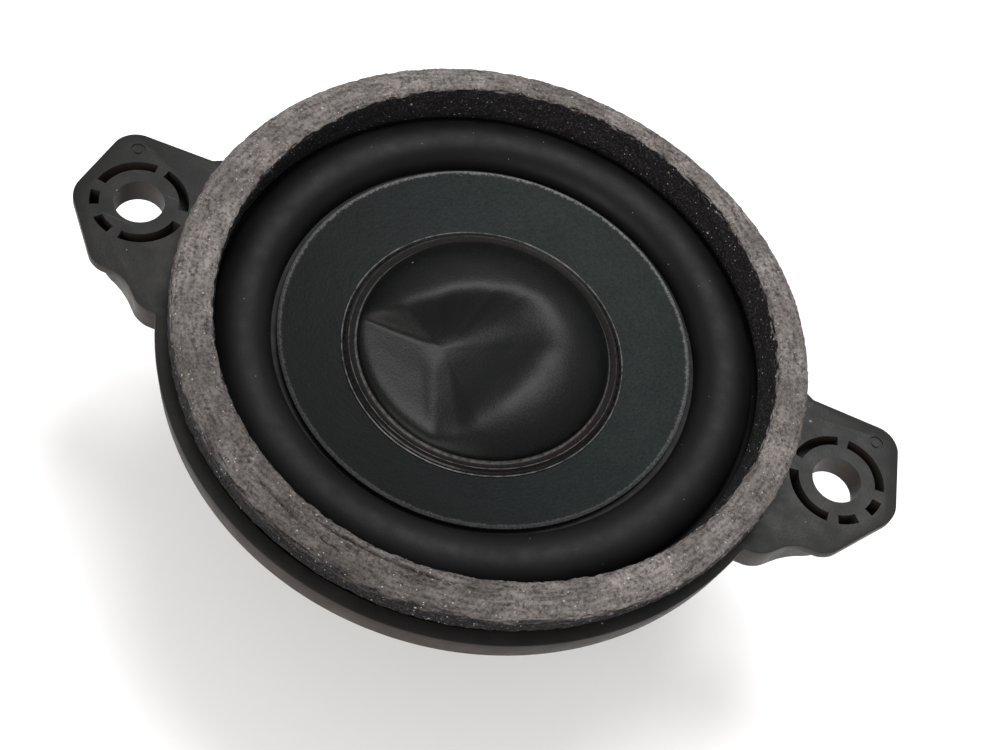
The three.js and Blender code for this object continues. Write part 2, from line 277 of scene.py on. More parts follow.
class Finish:
    """A procedural material on Object coordinates, wired to one Principled shader."""

    def __init__(self, name, color, roughness, metallic=0.0, **fixed):
        self.material = bpy.data.materials.new(name)
        self.material.use_nodes = True
        self.tree = self.material.node_tree
        self.shader = self.tree.nodes["Principled BSDF"]
        self.shader.inputs["Base Color"].default_value = (*color, 1)
        self.shader.inputs["Roughness"].default_value = roughness
        self.shader.inputs["Metallic"].default_value = metallic
        for socket, value in fixed.items():
            self.shader.inputs[socket.replace("_", " ")].default_value = value
        self.place = self.tree.nodes.new("ShaderNodeTexCoord").outputs["Object"]
        self.bumps = None

    def node(self, kind, inputs=None, **settings):
        made = self.tree.nodes.new(kind)
        for key, value in settings.items():
            setattr(made, key, value)
        for key, value in (inputs or {}).items():
            if isinstance(value, bpy.types.NodeSocket):
                self.tree.links.new(value, made.inputs[key])
            else:
                made.inputs[key].default_value = value
        return made

    def math(self, operation, first, second=0.0, third=None):
        inputs = {0: first, 1: second}
        if third is not None:
            inputs[2] = third
        return self.node("ShaderNodeMath", inputs, operation=operation).outputs[0]

    def axis(self, letter):
        return self.node("ShaderNodeSeparateXYZ", {0: self.place}).outputs[letter]

    def radius(self):
        """Distance from the speaker's axis, in metres."""
        flat = self.node("ShaderNodeVectorMath", {0: self.place, 1: (1, 1, 0)}, operation="MULTIPLY")
        return self.node("ShaderNodeVectorMath", {0: flat.outputs[0]}, operation="LENGTH").outputs["Value"]

    def along(self, x, y):
        """Distance from the axis along a direction in the plane of the front, in metres."""
        dot = self.node("ShaderNodeVectorMath", {0: self.place, 1: (x, y, 0)}, operation="DOT_PRODUCT")
        return dot.outputs["Value"]

    def facing(self):
        """Z of the surface's direction: 1 on level faces, 0 on upright walls."""
        normal = self.node("ShaderNodeNewGeometry").outputs["Normal"]
        return self.node("ShaderNodeSeparateXYZ", {0: normal}).outputs["Z"]

    def stretched(self, scale):
        return self.node("ShaderNodeMapping", {"Vector": self.place, "Scale": scale}).outputs[0]

    def grain(self, size, detail=3.0, roughness=0.55, place=None):
        """Noise whose features are about size millimetres across."""
        return self.node("ShaderNodeTexNoise", {
            "Vector": place or self.place, "Scale": 1 / (size * MM), "Detail": detail,
            "Roughness": roughness}).outputs["Fac"]

    def between(self, value, low, high, start=0.0, end=1.0, smooth=False):
        """Maps low..high to start..end, and holds it there outside."""
        return self.node("ShaderNodeMapRange", {
            "Value": value, "From Min": low, "From Max": high, "To Min": start, "To Max": end},
            interpolation_type="SMOOTHSTEP" if smooth else "LINEAR").outputs[0]

    def specks(self, spacing, size, share):
        """Scattered dots: 1 inside a dot. About the given share of the cells hold one."""
        cells = self.node("ShaderNodeTexVoronoi", {"Vector": self.place, "Scale": 1 / (spacing * MM)})
        dots = self.between(cells.outputs["Distance"], size * 0.5 / spacing, size / spacing, 1, 0)
        chance = self.node("ShaderNodeSeparateColor", {0: cells.outputs["Color"]}).outputs[0]
        chosen = self.math("LESS_THAN", chance, share)
        return self.math("MULTIPLY", dots, chosen)

    def mix(self, factor, first, second):
        made = self.node("ShaderNodeMix", {"Factor": factor}, data_type="RGBA")
        for index, value in ((6, first), (7, second)):
            if isinstance(value, bpy.types.NodeSocket):
                self.tree.links.new(value, made.inputs[index])
            else:
                made.inputs[index].default_value = (*value, 1)
        return made.outputs[2]

    def link(self, value, socket):
        self.tree.links.new(value, self.shader.inputs[socket])

    def bump(self, height, depth):
        """Adds relief. depth is the height of the full range, in millimetres."""
        inputs = {"Height": height, "Distance": depth * MM, "Strength": 1.0}
        if self.bumps:
            inputs["Normal"] = self.bumps
        self.bumps = self.node("ShaderNodeBump", inputs).outputs[0]
        self.link(self.bumps, "Normal")


def basket_plastic():
    """Moulded black nylon, dulled by dust and fine scuffs; its flange's outer wall carries painted light."""
    f = Finish("basket_plastic", (0.02, 0.02, 0.021), 0.5, Specular_IOR_Level=0.26)
    dust = f.between(f.grain(9, 4, 0.6), 0.42, 0.68)
    film = f.mix(dust, (0.0075, 0.0071, 0.0069), (0.014, 0.013, 0.0122))
    motes = f.math("MAXIMUM", f.specks(1.6, 0.12, 0.35), f.specks(4.5, 0.22, 0.2))
    color = f.mix(f.math("MULTIPLY", motes, 0.7), film, (0.3, 0.29, 0.28))
    streaks = f.grain(1, 2, 0.5, place=f.stretched((0.12, 1.6, 1)))
    scuffs = f.between(streaks, 0.66, 0.72, 0, 0.35)
    color = f.mix(scuffs, color, (0.05, 0.05, 0.052))
    # Painted reflected light: a lighter warm brown on the upright outer wall of the flange, near its outer
    # radius.
    upright = f.math("ABSOLUTE", f.facing())
    outer = f.between(f.radius(), (FLANGE_R - 1) * MM, (FLANGE_R - 0.7) * MM)
    painted_lit_wall = f.math("MULTIPLY", f.between(upright, 0.2, 0.6, 1, 0), outer)
    f.link(f.mix(f.math("MULTIPLY", painted_lit_wall, 0.75), color, (0.028, 0.0212, 0.0165)), "Base Color")
    f.link(f.between(f.along(0.5, 0.86), -30 * MM, 10 * MM, 0.19, 0.27), "Specular IOR Level")
    f.link(f.between(f.grain(3.5, 4, 0.6), 0.3, 0.7, 0.4, 0.62), "Roughness")
    f.bump(f.grain(0.35, 3, 0.6), 0.035)
    f.bump(f.grain(5, 2), 0.03)
    return f.material


def foam_finish():
    """Grey-brown open-cell foam: dusty on the top face, black with pale flecks on its walls. The dark walls,
    inner edge and lower parts stand partly for painted shade.
    """
    f = Finish("foam", (0.12, 0.105, 0.095), 0.95, Specular_IOR_Level=0.15)
    # The mask built below keeps the pale colour on level, high faces. Leaving the walls, lower parts and
    # inner edge black is partly the foam's own colour and partly painted shade.
    facing = f.facing()
    height = f.between(f.axis("Z"), (foam_high.z - 3.2) * MM, (foam_high.z - 0.8) * MM, smooth=True)
    turn = f.math("MULTIPLY", f.math("ARCTAN2", f.axis("Y"), f.axis("X")), 6 * MM)
    along = f.node("ShaderNodeCombineXYZ", {0: f.radius(), 1: turn, 2: f.axis("Z")}).outputs[0]
    streaks = f.grain(0.5, 4, 0.6, place=along)
    inside = f.between(f.radius(), (FOAM_INNER + 0.5) * MM, (FOAM_INNER + 1.7) * MM, 0.75, 0)
    torn = f.math("MULTIPLY", f.between(streaks, 0.3, 0.7, -0.35, 0.35), f.between(inside, 0, 0.75, 1, 0.4))
    ragged = f.math("ADD", f.between(facing, -0.1, 0.6), torn)
    ragged = f.math("SUBTRACT", ragged, f.math("MULTIPLY", inside, f.between(facing, 0.35, 0.9, 1, 0)))
    top = f.math("MULTIPLY", f.between(ragged, 0.1, 0.75, smooth=True), f.between(height, 0, 1, 0.15, 1))
    crumbs = f.grain(0.4, 5, 0.65)
    clumps = f.math("ADD", f.math("MULTIPLY", crumbs, 0.6), f.math("MULTIPLY", streaks, 0.4))
    pores = f.between(clumps, 0.38, 0.58)
    patches = f.between(f.grain(5, 4, 0.6), 0.38, 0.65)
    light = f.mix(patches, (0.165, 0.148, 0.138), (0.285, 0.258, 0.246))
    dusty_top_and_shade = f.mix(pores, (0.05, 0.044, 0.042), light)
    # Painted shade: the top colour darkens towards the near side, along (-0.39, -0.92).
    dusty_top_and_shade = f.mix(f.between(f.along(-0.39, -0.92), 20 * MM, 37 * MM, 0, 0.4), dusty_top_and_shade, (0.012, 0.011, 0.01))
    raw = f.mix(pores, (0.003, 0.003, 0.0035), (0.015, 0.0138, 0.0145))
    grains = f.between(f.grain(0.3, 2), 0.56, 0.68, 0, 0.8)
    raw = f.mix(grains, raw, (0.062, 0.056, 0.064))
    flecks = f.math("MAXIMUM", f.specks(0.6, 0.11, 0.35), f.specks(1.9, 0.2, 0.3))
    base = f.mix(top, raw, dusty_top_and_shade)
    f.link(f.mix(f.math("MULTIPLY", flecks, 0.75), base, (0.5, 0.49, 0.49)), "Base Color")
    f.bump(crumbs, 0.4)
    f.bump(f.grain(0.17, 2), 0.12)
    return f.material


def surround_rubber():
    """Smooth moulded rubber with a little dust."""
    f = Finish("surround_rubber", (0.008, 0.008, 0.009), 0.5, Specular_IOR_Level=0.11)
    cloud = f.between(f.grain(12, 3, 0.5), 0.35, 0.7)
    base = f.mix(cloud, (0.0035, 0.0035, 0.0038), (0.0062, 0.006, 0.0068))
    motes = f.math("MAXIMUM", f.specks(1.1, 0.08, 0.22), f.specks(5, 0.16, 0.2))
    f.link(f.mix(f.math("MULTIPLY", motes, 0.6), base, (0.22, 0.21, 0.23)), "Base Color")
    f.link(f.between(f.grain(2.4, 3), 0.3, 0.7, 0.42, 0.54), "Roughness")
    f.bump(f.grain(0.3, 3, 0.6), 0.015)
    return f.material


def cone_paper():
    """Pressed black paper with a green cast, and a paler raw edge which also carries a painted highlight;
    painted shade darkens its near-left side.
    """
    f = Finish("cone_paper", (0.012, 0.016, 0.015), 0.55, Specular_IOR_Level=0.16)
    fibres = f.grain(0.4, 5, 0.7)
    mottle = f.between(f.math("ADD", fibres, f.between(f.grain(4, 3), 0, 1, -0.15, 0.15)), 0.3, 0.72)
    sheet = f.mix(mottle, (0.004, 0.0064, 0.0062), (0.0135, 0.018, 0.0172))
    # The pale band at the cone's edge is partly its raw paper edge and partly a painted highlight. The
    # highlight part grows towards the far side (+Y).
    frayed = f.math("ADD", f.radius(), f.between(f.grain(0.4, 3, 0.7), 0.2, 0.8, -0.3 * MM, 0.3 * MM))
    edge = f.between(frayed, (CONE_R - 0.6) * MM, (CONE_R - 0.3) * MM, smooth=True)
    wear_and_highlight = f.between(f.axis("Y"), -0.5 * CONE_R * MM, 0.9 * CONE_R * MM, 0.25, 1)
    # Painted shade: the sheet darkens towards the near-left side of the cone.
    painted_shade_near_left = f.between(f.along(0.7, 0.7), -18 * MM, 14 * MM, 0.85, 0)
    sheet = f.mix(painted_shade_near_left, sheet, (0.0018, 0.003, 0.0028))
    edge = f.math("MULTIPLY", edge, wear_and_highlight)
    # Colour of the pale edge band: raw paper and painted highlight.
    rim = f.mix(f.between(f.grain(0.3, 4, 0.7), 0.35, 0.65), (0.04, 0.042, 0.044), (0.15, 0.15, 0.155))
    motes = f.specks(3.4, 0.14, 0.16)
    color = f.mix(f.math("MULTIPLY", motes, 0.8), f.mix(edge, sheet, rim), (0.3, 0.31, 0.3))
    f.link(color, "Base Color")
    f.bump(fibres, 0.05)
    f.bump(f.grain(1.6, 3), 0.06)
    return f.material


def cap_paper():
    """Soft black felted paper of the dust cap, pale with wear along its folded rim, and with a painted
    highlight along the collar's outer lip, strongest on the near side.
    """
    f = Finish("cap_paper", (0.01, 0.01, 0.01), 0.38, Specular_IOR_Level=0.18)
    fibres = f.grain(0.35, 5, 0.7)
    felt = f.mix(f.between(fibres, 0.3, 0.7), (0.0006, 0.0007, 0.0007), (0.003, 0.0032, 0.0032))
    radius = f.radius()
    collar = f.between(radius, (CAP_FOLD + 0.05) * MM, (CAP_FOLD + 0.15) * MM)
    brown = f.mix(f.between(fibres, 0.3, 0.7), (0.006, 0.0044, 0.0044), (0.015, 0.012, 0.0118))
    off_fold = f.math("ABSOLUTE", f.math("SUBTRACT", radius, CAP_FOLD * MM))
    crest = f.between(off_fold, 0.05 * MM, 0.14 * MM, 1, 0)
    wear_and_highlight = f.math("MULTIPLY", crest, f.between(f.grain(0.6, 3, 0.6), 0.35, 0.6, 0.35, 0.9))
    # Painted highlight: a pale line just inside the collar's outer edge, strong on the near side (-Y) and
    # faint on the far side. It is joined to the fold's wear line below.
    near_side_highlight = f.between(f.axis("Y"), 2 * MM, -CAP_RIM * MM, 0.15, 1)
    off_lip = f.math("ABSOLUTE", f.math("SUBTRACT", radius, (CAP_RIM - 0.08) * MM))
    lip = f.between(off_lip, 0.03 * MM, 0.09 * MM, 1, 0)
    lip = f.math("MULTIPLY", lip, f.math("MULTIPLY", near_side_highlight, f.between(f.grain(1.2, 2), 0.4, 0.55, 0.3, 1)))
    wear_and_highlight = f.math("MAXIMUM", wear_and_highlight, lip)
    color = f.mix(wear_and_highlight, f.mix(collar, felt, brown), (0.13, 0.125, 0.122))
    motes = f.specks(3.1, 0.12, 0.12)
    f.link(f.mix(f.math("MULTIPLY", motes, 0.7), color, (0.3, 0.3, 0.3)), "Base Color")
    f.bump(fibres, 0.035)
    return f.material


def glue_finish(name, color, highlight_radius=0.0):
    """Shiny dried glue. A painted highlight, a pale line, may run along its thin edge, at a radius in
    millimetres.
    """
    f = Finish(name, color, 0.2, Specular_IOR_Level=0.3)
    ripple = f.grain(1.3, 3, 0.5)
    f.link(f.between(ripple, 0.3, 0.7, 0.14, 0.34), "Roughness")
    tint = tuple(min(1.0, c * 2.2 + 0.004) for c in color)
    mottled = f.mix(f.between(f.grain(0.5, 4), 0.4, 0.7), color, tint)
    # Painted highlight: a pale line along the bead's thin edge, at the given radius.
    off_line = f.math("ABSOLUTE", f.math("SUBTRACT", f.radius(), highlight_radius * MM))
    line = f.math("MULTIPLY", f.between(off_line, 0.05 * MM, 0.11 * MM, 1, 0),
                  f.between(f.grain(0.9, 3), 0.35, 0.6, 0.25, 1))
    f.link(f.mix(line, mottled, (0.13, 0.13, 0.13)), "Base Color")
    f.bump(ripple, 0.05)
    return f.material


def plated_steel():
    """Zinc-plated steel with turning marks round the axis and faint stains."""
    f = Finish("plated_steel", (0.5, 0.5, 0.47), 0.35, metallic=1.0)
    slow = f.math("MULTIPLY", f.axis("Z"), 0.4)
    rings = f.node("ShaderNodeCombineXYZ", {0: f.radius(), 1: slow}).outputs[0]
    turning = f.grain(0.14, 2, 0.5, place=rings)
    cloud = f.between(f.grain(6, 4, 0.6), 0.35, 0.7)
    tone = f.mix(cloud, (0.44, 0.44, 0.41), (0.58, 0.575, 0.54))
    spots = f.between(f.grain(2.2, 5, 0.7), 0.64, 0.74)
    f.link(f.mix(f.math("MULTIPLY", spots, 0.6), tone, (0.2, 0.16, 0.12)), "Base Color")
    f.link(f.between(turning, 0.3, 0.7, 0.26, 0.46), "Roughness")
    f.bump(turning, 0.02)
    return f.material


def ferrite():
    """Grey-black sintered ferrite with ground faces and small chips."""
    f = Finish("ferrite", (0.035, 0.035, 0.038), 0.6, Specular_IOR_Level=0.5)
    cloud = f.between(f.grain(3, 5, 0.65), 0.35, 0.68)
    base = f.mix(cloud, (0.026, 0.026, 0.029), (0.055, 0.054, 0.056))
    f.link(f.mix(f.specks(2.6, 0.2, 0.25), base, (0.1, 0.1, 0.1)), "Base Color")
    f.link(f.between(f.grain(1.1, 4), 0.3, 0.7, 0.42, 0.72), "Roughness")
    f.bump(f.grain(0.4, 4, 0.7), 0.05)
    f.bump(f.between(f.grain(2.2, 3, 0.6), 0.66, 0.7, 1, 0), 0.12)
    return f.material


def tinned_brass():
    f = Finish("tinned_brass", (0.62, 0.61, 0.57), 0.28, metallic=1.0)
    cloud = f.between(f.grain(1.8, 4, 0.6), 0.35, 0.7)
    f.link(f.mix(cloud, (0.52, 0.5, 0.45), (0.68, 0.67, 0.64)), "Base Color")
    drawn = f.grain(0.2, 2, 0.5, place=f.stretched((1, 1, 0.05)))
    f.link(f.between(drawn, 0.3, 0.7, 0.22, 0.42), "Roughness")
    f.bump(drawn, 0.012)
    return f.material


def solder_finish():
    f = Finish("solder", (0.6, 0.6, 0.59), 0.25, metallic=1.0)
    f.link(f.mix(f.grain(0.7, 4), (0.42, 0.42, 0.42), (0.72, 0.72, 0.7)), "Base Color")
    f.link(f.between(f.grain(0.5, 3), 0.3, 0.7, 0.18, 0.45), "Roughness")
    f.bump(f.grain(0.6, 3), 0.06)
    return f.material


def phenolic_board():
    """Brown laminated board with its layers showing on the cut edges."""
    f = Finish("phenolic_board", (0.11, 0.05, 0.025), 0.5, Specular_IOR_Level=0.4)
    layers = f.grain(0.3, 2, 0.5, place=f.stretched((0.05, 0.05, 1.6)))
    paper = f.between(f.math("ADD", layers, f.grain(0.6, 4, 0.6)), 0.7, 1.3)
    f.link(f.mix(paper, (0.07, 0.03, 0.014), (0.17, 0.085, 0.042)), "Base Color")
    f.bump(layers, 0.03)
    return f.material


def kraft_paper():
    f = Finish("kraft_paper", (0.3, 0.18, 0.09), 0.8, Specular_IOR_Level=0.2)
    pulp = f.grain(0.5, 5, 0.7)
    f.link(f.mix(f.between(pulp, 0.3, 0.7), (0.2, 0.115, 0.055), (0.38, 0.245, 0.13)), "Base Color")
    f.bump(pulp, 0.04)
    return f.material


def former_foil():
    f = Finish("former_foil", (0.62, 0.62, 0.63), 0.3, metallic=1.0)
    rolled = f.grain(0.25, 3, 0.5, place=f.stretched((0.15, 0.15, 1)))
    f.link(f.mix(rolled, (0.52, 0.52, 0.53), (0.72, 0.72, 0.73)), "Base Color")
    f.link(f.between(rolled, 0.3, 0.7, 0.22, 0.4), "Roughness")
    f.bump(rolled, 0.01)
    return f.material


def copper_wire():
    f = Finish("copper_wire", (0.5, 0.2, 0.08), 0.3, metallic=1.0)
    f.link(f.mix(f.grain(0.8, 4), (0.38, 0.13, 0.045), (0.62, 0.27, 0.12)), "Base Color")
    f.link(f.between(f.grain(0.3, 2), 0.3, 0.7, 0.2, 0.4), "Roughness")
    return f.material


def tinsel_braid():
    f = Finish("tinsel_braid", (0.55, 0.3, 0.16), 0.4, metallic=0.9)
    strands = f.grain(0.12, 3, 0.6)
    f.link(f.mix(f.between(strands, 0.35, 0.65), (0.25, 0.12, 0.055), (0.68, 0.42, 0.24)), "Base Color")
    f.bump(strands, 0.05)
    return f.material


def spider_cloth():
    """Resin-stiffened open weave."""
    f = Finish("spider_cloth", (0.5, 0.32, 0.12), 0.75, Specular_IOR_Level=0.3)
    threads = []
    for letter in "XY":
        wave = f.math("SINE", f.math("MULTIPLY", f.axis(letter), math.tau / (0.62 * MM)))
        threads.append(f.math("MULTIPLY_ADD", wave, 0.5, 0.5))
    weave = f.math("MAXIMUM", *threads)
    resin = f.mix(f.grain(5, 3), (0.42, 0.25, 0.085), (0.56, 0.37, 0.15))
    f.link(f.mix(f.between(weave, 0.35, 0.95), (0.16, 0.085, 0.025), resin), "Base Color")
    f.bump(weave, 0.12)
    return f.material


# ---- basket ----

SLOT = {"inner": 4.85, "outer": 6.05, "depth": 2.6}
SLOT_ANGLES = ((8, 88), (102, 168), (189, 271), (285, 311), (330, 352))
WINDOWS = 12
RIB_THICK = 1.2
TAB_X = 5.0
TAB_Y = 33.5
TAB_THICK = 0.8
RIVET_HOLE = 1.15
SCREW_CIRCLE = 18.2
SCREW_HEAD = 2.7
SCREW_SHANK = 1.25


def ear(side):
    """A thin plate on a narrower block, with a concave fillet where it meets the flange.

    Straight front edge, outermost corner, slanted edge and the double step back to the flange."""
    near = [(43.1, -10.6, 1.7), (39.7, -13.9, 1.3), (36, -13.9, 0)]
    plate = [(36, 12.6, 0), (38.1, 12.2, 0), (38.9, 10.9, 0), (40.6, 9.9, 0),
             (52.1, 9.6, 2.6), (54.2, -2, 1.6), (47.3, -10.6, 1.4)] + near
    block_below = [(36, 8, 0), (50.8, 8, 2), (52.5, -1.6, 1.4), (46.4, -9.2, 1.4)] + near
    parts = []
    for points, bottom, top in ((plate, RIM_Z - 1.3, RIM_Z), (block_below, FLANGE_BACK, RIM_Z - 0.5)):
        if side < 0:
            points = points[::-1]
        part = outline_plate([(side * x, y, r) for x, y, r in points], bottom, top)
        parts.append(soften(part, 0.16, 2, 50))
    return combine(parts[0], parts[1:], "UNION")


def ear_cuts(side):
    """The bore, the ring of blind slots round it and the round moulding mark near the corner."""
    x = side * BORE_X
    cuts = [post(BORE_R, x, 0, FLANGE_BACK - 2, RIM_Z + 2, 72)]
    for start, end in SLOT_ANGLES:
        if side < 0:
            start, end = 180 - end, 180 - start
        cuts.append(ring_piece(x, SLOT["inner"], SLOT["outer"], start, end, RIM_Z - SLOT["depth"], RIM_Z + 2))
    cuts.append(tube(0.5, 0.95, RIM_Z - 0.16, RIM_Z + 1, 40))
    bmesh.ops.translate(cuts[-1], vec=(side * 49.5, 7.2, 0), verts=cuts[-1].verts)
    return cuts


def screw_places():
    for i in range(4):
        angle = (i + 0.5) * math.tau / 4
        yield SCREW_CIRCLE * math.cos(angle), SCREW_CIRCLE * math.sin(angle)


def basket():
    section = [
        (15.2, BASE_Z), (24, BASE_Z), (24.3, BASE_Z + 0.2), (27.4, 24), (29.4, 25.4),
        (35.8, FLANGE_BACK - 0.6), (35.8, FLANGE_BACK),
        (FLANGE_R - 0.6, FLANGE_BACK), (FLANGE_R - 0.38, FLANGE_BACK + 0.2),
        (FLANGE_R - 0.02, RIM_Z - 0.22), (FLANGE_R - 0.1, RIM_Z - 0.06), (FLANGE_R - 0.25, RIM_Z),
        (LIP_R + 0.15, RIM_Z), (LIP_R, RIM_Z - 0.15), (LIP_R, SEAT_Z), (33.6, SEAT_Z), (33.6, 33.2),
        (27.4, 26.9), (27, SPIDER_SEAT), (22.6, SPIDER_SEAT), (22, BASE_TOP), (15.2, BASE_TOP),
    ]
    shell = turned(section, 240)
    seat = post(LIP_R, 0, 0, SEAT_Z, RIM_Z + 1, 240)
    ears = [combine(ear(side), [seat.copy()], "DIFFERENCE") for side in (-1, 1)]
    seat.free()
    bracket = block(-9, 9, 25, 37.5, board_high.z + 0.3, board_high.z + 2.3)

    gussets = []
    for i in range(WINDOWS):
        rib = bmesh.new()
        points = [(28.4, 24.6), (37.2, FLANGE_BACK + 0.2), (33, FLANGE_BACK + 0.2)]
        rib.faces.new([rib.verts.new((r, -RIB_THICK / 2, z)) for r, z in points])
        thickened(rib, (0, RIB_THICK, 0))
        gussets.append(swung(rib, (i + 0.5) * math.tau / WINDOWS))

    windows = []
    for i in range(WINDOWS):
        opening = block(25, 39, -4.5, 4.5, 27.2, 31.4)
        long_edges = [e for e in opening.edges if abs((e.verts[0].co - e.verts[1].co).x) > 1]
        bmesh.ops.bevel(
            opening, geom=long_edges, affect="EDGES", offset=1, segments=5, profile=0.5, material=-1)
        windows.append(swung(opening, i * math.tau / WINDOWS))

    holes = [post(SCREW_SHANK + 0.3, x, y, BASE_Z - 1, BASE_TOP + 1, 32) for x, y in screw_places()]
    holes += [post(1.2, side * TAB_X, TAB_Y, board_high.z, board_high.z + 4, 32) for side in (-1, 1)]
    wells = [post(SCREW_HEAD + 0.3, x, y, BASE_TOP - 1.5, BASE_TOP + 1, 48) for x, y in screw_places()]

    whole = combine(shell, ears + [bracket, joined(gussets)], "UNION")
    cuts = [joined(windows), joined(holes), joined(wells), joined(ear_cuts(-1) + ear_cuts(1))]
    whole = combine(whole, cuts, "DIFFERENCE")
    return piece("basket_moulding", whole, FIXED, basket_plastic(), ["basket"])


# ---- foam gasket ----

FOAM_STEPS = 620
FOAM_INNER = foam_high.x - 4.2
FOAM_LEAN = (0.75, 0.05)        # how far the top face has shifted, in X and Y
TOP_DRAWN_IN = 0.75             # of the inner edge at the top, most at the left
FOOT_DRAWN_IN = 0.55            # of the inner edge at the foot
CREASE_DEPTH = 0.75
CREASE_WIDTH = 0.15

# Where the foam's outer edge stands out or is drawn in: by how much, middle angle, power.
FOAM_BULGES = ((0.35, -0.7, 1), (0.95, 2.85, 4), (-0.85, 1.22, 6))

# Folds pressed into the top of the foam: radius, middle angle, half spread, phase.
FOAM_CREASES = (
    (FOAM_INNER + 1.4, math.radians(-88), math.radians(34), 0.3),
    (FOAM_INNER + 1.95, math.radians(-76), math.radians(26), 1.7),
    (FOAM_INNER + 2.6, math.radians(-112), math.radians(16), 2.9),
)


def foam_section(count=104):
    """A rounded block section, narrower at its foot than at its waist."""
    width = foam_high.x - FOAM_INNER
    height = foam_high.z - foam_low.z
    middle = FOAM_INNER + width / 2
    points = []
    for i in range(count):
        angle = math.tau * i / count
        c, s = math.cos(angle), math.sin(angle)
        power = 0.62 if c > 0 and s > 0 else 0.42
        across = math.copysign(abs(c) ** power, c) * width / 2
        up = math.copysign(abs(s) ** power, s) * height / 2
        narrow = 0.45 if across > 0 and up < -height * 0.3 else 0.0
        points.append((middle + across - narrow, foam_low.z + height / 2 + up))
    return points


def foam_gasket():
    bm = turned(foam_section(), FOAM_STEPS)
    height = foam_high.z - foam_low.z
    for vert in bm.verts:
        x, y, z = vert.co
        radius = math.hypot(x, y)
        angle = math.atan2(y, x)
        share = max(0.0, (z - foam_low.z) / height)
        inward = max(0.0, (foam_high.x - radius) / (foam_high.x - FOAM_INNER))
        sway = 0.2 * math.cos(3 * angle + 0.8) - TOP_DRAWN_IN * max(0.0, math.cos(angle - 3.4)) ** 2
        radius += share * inward * sway - FOOT_DRAWN_IN * inward * (1 - share) ** 2
        bulge = sum(reach * max(0.0, math.cos(angle - middle)) ** power
                    for reach, middle, power in FOAM_BULGES)
        radius += bulge * (1 - inward) * smooth_step(share * 1.5)
        for ring, middle, spread, start in FOAM_CREASES:
            turn = math.remainder(angle - middle, math.tau) / spread
            if abs(turn) < 1 and share > 0.8:
                line = ring + 0.35 * math.sin(5 * angle + start)
                fold = math.exp(-((radius - line) / CREASE_WIDTH) ** 2) * (1 - turn * turn)
                z -= CREASE_DEPTH * fold
        spot = Vector((x, y, z))
        coarse = noise.noise(spot * 0.9)
        fine = noise.noise(spot * 3.1)
        swell = 0.16 * coarse + 0.1 * fine
        grow = min(1.0, share * 4)
        radius += swell * grow * (1 if radius > FOAM_INNER + 2 else -1)
        lean = Vector((FOAM_LEAN[0] * share, FOAM_LEAN[1] * share, 0))
        lift = -0.1 * abs(coarse) * share + 0.05 * fine * share
        vert.co = Vector((radius * math.cos(angle), radius * math.sin(angle), z + lift)) + lean
    foam = piece("foam_ring", bm, FIXED, foam_finish(), ["foam_gasket"], smooth=180)
    return foam


# ---- surround and spider: between the basket and the cone, on no body ----

def bends_round(thing):
    """Bakes the piece's transform into its mesh.
    """
    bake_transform(thing)


def surround():
    """A half roll between the cone's edge and a flat lip that is glued to the flange."""
    inner, outer = 26.4, 33.6
    base = SEAT_Z + 0.8
    crest = surround_high.z - base
    middle, reach = (inner + outer) / 2, (outer - inner) / 2

    def arc(thick, count):
        for i in range(count + 1):
            angle = math.pi * (1 - i / count)
            bulge = math.sin(angle) ** 0.85
            yield middle + (reach - thick) * math.cos(angle), base - thick + crest * bulge

    def lip(radius):
        return CONE_Z - (CONE_R - radius) * CONE_SLOPE - 0.8
    top = [(23.6, lip(23.6)), (25.4, lip(25.4)), (25.75, base - 0.4), (26.3, base - 0.3)]
    top += list(arc(0, 24)) + [(33.9, base - 0.2), (37.4, base - 0.2)]
    under = [(37.4, base - 0.5), (34, base - 0.5)] + list(arc(0.5, 18))[::-1]
    under += [(25.9, base - 0.75), (25.4, lip(25.4) - 0.4), (23.6, lip(23.6) - 0.4)]
    bm = turned(top + under, 240)
    ring = piece("surround_roll", bm, None, surround_rubber(), ["surround"], smooth=60)
    bends_round(ring)
    return ring


def spider():
    """A corrugated cloth disc with a flat rim."""
    first, last, rolls, height, cloth = NECK_R + 1.0, 23.0, 5, 0.6, 0.3
    middle = spider_low.z + 0.65

    def wave(lift, count=60):
        for i in range(count + 1):
            share = i / count
            fade = math.sin(math.pi * min(1, share * 6) / 2) * math.sin(math.pi * min(1, (1 - share) * 6) / 2)
            swing = height * fade * math.sin(share * rolls * math.tau)
            yield first + share * (last - first), middle + swing + lift
    top = [(NECK_R, middle + cloth)] + list(wave(cloth)) + [(spider_high.x, middle + cloth)]
    under = [(spider_high.x, middle)] + list(wave(0))[::-1] + [(NECK_R, middle)]
    bm = turned(top + under, 120)
    disc = piece("spider_disc", bm, None, spider_cloth(), ["spider"], smooth=60)
    bends_round(disc)
    return disc


# ---- cone, dust cap and the glue round it ----

CAP_FOLD = 15.9                 # radius of the folded rim of the dome
CAP_RIM = 16.85                 # outer edge of the cap's collar
CAP_HEIGHT = 4.5
GLUE_WOBBLE = 0.05
DENT_POINT = Vector((-4.4, -2.3))
SHELF_HEIGHT = 1.0              # of the flat shelf on the dent's low side, above the dome's foot
SHELF_EDGE = (-5.2, -3.0)       # a point on the edge where the shelf rises again
FOLD_WIDTH = 2.1                # of the slope down to the shelf
DENT_FLOOR = 0.65               # height of the dent's deepest point above the dome's foot
DENT_EDGE = (                   # the ridge round the dent
    (-13.9, -3.1), (-13.2, -7), (-9.4, -12.1), (-3.8, -14.8), (1.2, -13.4), (2.7, -11.2),
    (4.3, -8.4), (5.7, -5.6), (6.7, -2.6), (7.3, 0.8), (7.4, 3.6), (6.6, 5.4), (4.6, 6.9),
    (1.9, 7.1), (-1.6, 6.1), (-4.9, 4.6), (-7.8, 2.3), (-10.6, -0.1),
)


